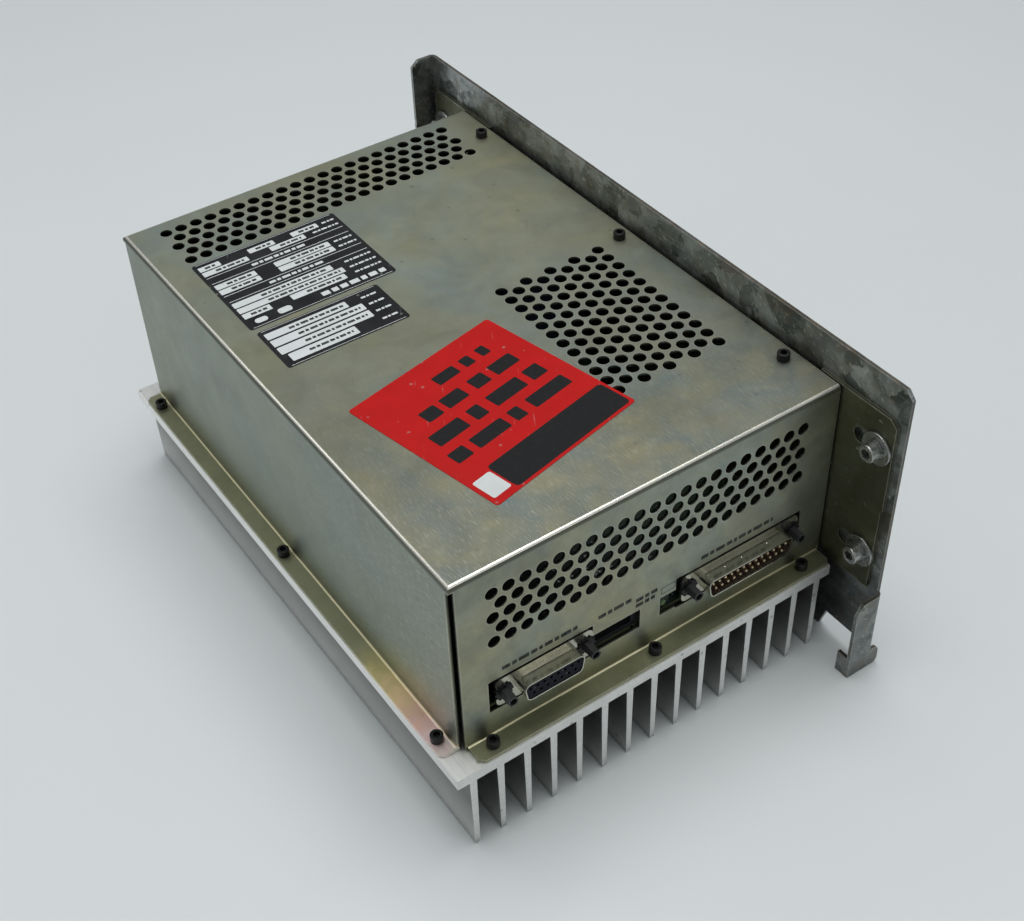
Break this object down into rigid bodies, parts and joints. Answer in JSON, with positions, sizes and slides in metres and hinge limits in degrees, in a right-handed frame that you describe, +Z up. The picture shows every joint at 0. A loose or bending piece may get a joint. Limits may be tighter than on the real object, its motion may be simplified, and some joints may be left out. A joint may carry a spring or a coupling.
{
  "type": "servo drive",
  "caption": "Servo drive with a finned heatsink, perforated folded cover, signal and power connectors, and a mounting bracket that slides in slots.",
  "frame": {"origin": "middle of the heatsink's fin tips, on the plane that the drive stands on", "axes": "+X across the fins towards the mounting bracket, +Y along the fins from the signal connectors to the power connectors, +Z up from the fin tips to the cover's top"},
  "size_m": [0.1729, 0.2896, 0.131],
  "materials": {
    "bare_aluminium": "satin extruded, lightly marked",
    "chromated_steel": "zinc plated and yellow passivated",
    "galvanised_steel": "spangled galvanised",
    "black_steel": "black oxide",
    "zinc_steel": "bright zinc",
    "tinned_steel": "bright tin",
    "tinned_brass": "tin or gold plated",
    "black_plastic": "moulded",
    "brown_plastic": "moulded",
    "green_plastic": "moulded",
    "yellow_plastic": "moulded",
    "lamp_lens": "diffused lens",
    "circuit_board": "solder mask over glass laminate",
    "insulation": "insulating film",
    "capacitor_can": "sleeved can",
    "ferrite": "sintered",
    "winding_tape": "polyester tape over copper",
    "copper_wire": "enamelled",
    "fuse_body": "ceramic tube",
    "ribbon": "flat cable",
    "black_label": "printed polyester",
    "red_label": "printed polyester"
  },
  "bodies": {
    "drive": {"board_capacitors": "capacitor_can", "bus_capacitors": "capacitor_can", "choke_base": "black_plastic", "choke_core": "ferrite", "choke_windings": "copper_wire", "control_board": "circuit_board", "control_board_posts": "tinned_brass", "control_board_screws": "zinc_steel", "control_connector_body": "black_plastic", "control_connector_insert": "brown_plastic", "control_connector_pins": "tinned_brass", "control_connector_shell": "tinned_steel", "cover": "chromated_steel", "current_sensors": "black_plastic", "feedback_connector_body": "black_plastic", "feedback_connector_insert": "black_plastic", "feedback_connector_shell": "tinned_steel", "filter_capacitors": "yellow_plastic", "flange_screws": "black_steel", "fuse": "fuse_body", "fuse_clips": "tinned_brass", "heatsink": "bare_aluminium", "inrush_relay": "black_plastic", "insulation_sheet": "insulation", "jackscrew_lock_washers": "black_steel", "jackscrews": "black_steel", "lamp_holder": "black_plastic", "link_headers": "black_plastic", "link_ribbon": "ribbon", "logic_chips": "black_plastic", "mains_terminal": "green_plastic", "mains_terminal_blades": "tinned_brass", "motor_terminal": "green_plastic", "motor_terminal_blades": "tinned_brass", "power_board": "circuit_board", "power_board_posts": "tinned_brass", "power_board_screws": "zinc_steel", "power_module": "black_plastic", "power_module_pins": "tinned_brass", "power_part_screws": "zinc_steel", "processor": "black_plastic", "rating_label": "black_label", "rectifier_bridge": "black_plastic", "red_label": "red_label", "serial_header": "black_plastic", "serial_header_pins": "tinned_brass", "side_plate": "chromated_steel", "side_plate_screws": "black_steel", "status_lamps": "lamp_lens", "thermal_pads": "insulation", "top_clinch_nuts": "zinc_steel", "top_screws": "black_steel", "transformer_core": "ferrite", "transformer_winding": "winding_tape", "version_label": "black_label"},
    "bracket": {"mounting_bracket": "galvanised_steel", "bracket_screws": "zinc_steel", "bracket_lock_washers": "zinc_steel", "bracket_flat_washers": "zinc_steel", "bracket_clinch_nuts": "zinc_steel"}
  },
  "joints": [
    {"name": "bracket_slide", "type": "slide", "parent": "drive", "child": "bracket", "axis": [0, 1, 0], "range_m": [-0.0019, 0.0019]}
  ]
}
